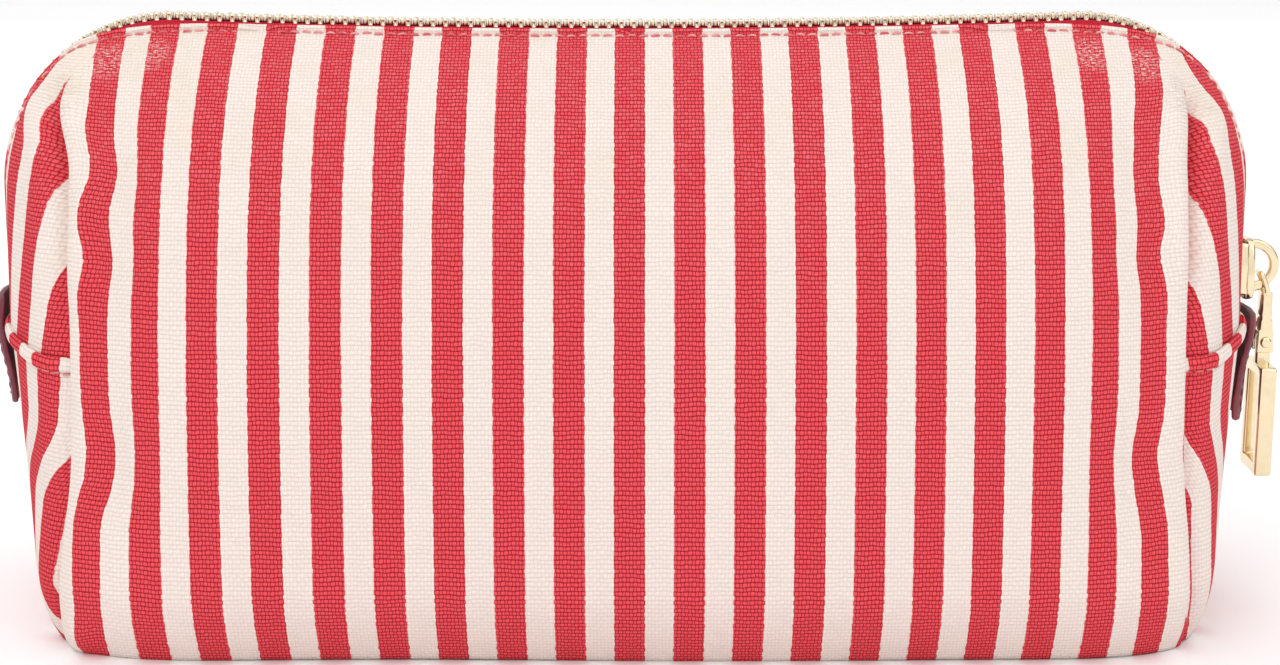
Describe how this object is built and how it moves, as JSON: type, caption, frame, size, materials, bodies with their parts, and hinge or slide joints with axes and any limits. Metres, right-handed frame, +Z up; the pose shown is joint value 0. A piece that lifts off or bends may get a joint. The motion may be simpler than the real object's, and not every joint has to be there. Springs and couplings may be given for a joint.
{
  "type": "zipped makeup bag",
  "caption": "Boxy striped canvas makeup bag with a full-length zip over the top and down both ends, leather end patches, and a slider with a hinged rectangular pull.",
  "frame": {"origin": "centre of the base, on the surface the bag stands on", "axes": "+X along the zip towards the end where the slider stops when the bag is closed, +Y towards the back, +Z up"},
  "size_m": [0.2762, 0.0982, 0.1289],
  "materials": {
    "canvas": "plain-weave cotton canvas in upright red and cream stripes",
    "lining": "thin plain cotton",
    "zip_tape": "woven tape, bright red",
    "teeth_metal": "pale brass, lightly worn",
    "gold_metal": "polished pale gold plating",
    "leather": "burgundy, fine grain, raw edges"
  },
  "bodies": {
    "bag": {"front_panel": "canvas", "back_panel": "canvas", "base_panel": "canvas", "left_end_gusset": "canvas", "right_end_gusset": "canvas", "front_lining": "lining", "back_lining": "lining", "base_lining": "lining", "zip_tape_front": "zip_tape", "zip_tape_back": "zip_tape", "zip_teeth_front": "teeth_metal", "zip_teeth_back": "teeth_metal", "zip_bottom_stop": "teeth_metal", "zip_top_stop_front": "teeth_metal", "zip_top_stop_back": "teeth_metal", "left_end_patch": "leather", "right_end_patch": "leather"},
    "slider": {"slider_body": "gold_metal", "slider_bail": "gold_metal"},
    "pull_link": {"pull_link": "gold_metal", "pull_pin": "gold_metal"},
    "pull_frame": {"pull_frame": "gold_metal"}
  },
  "joints": [
    {"name": "slider_travel", "type": "slide", "parent": "bag", "child": "slider", "axis": [0, 0, 1], "range_m": [0, 0.012]},
    {"name": "pull_swing", "type": "hinge", "parent": "slider", "child": "pull_link", "pos_m": [0.1349, 0, 0.0745], "axis": [0, -1, 0], "range_deg": [0, 100]},
    {"name": "frame_swing", "type": "hinge", "parent": "pull_link", "child": "pull_frame", "pos_m": [0.1383, 0, 0.0578], "axis": [0, -1, 0], "range_deg": [-3, 75]}
  ]
}
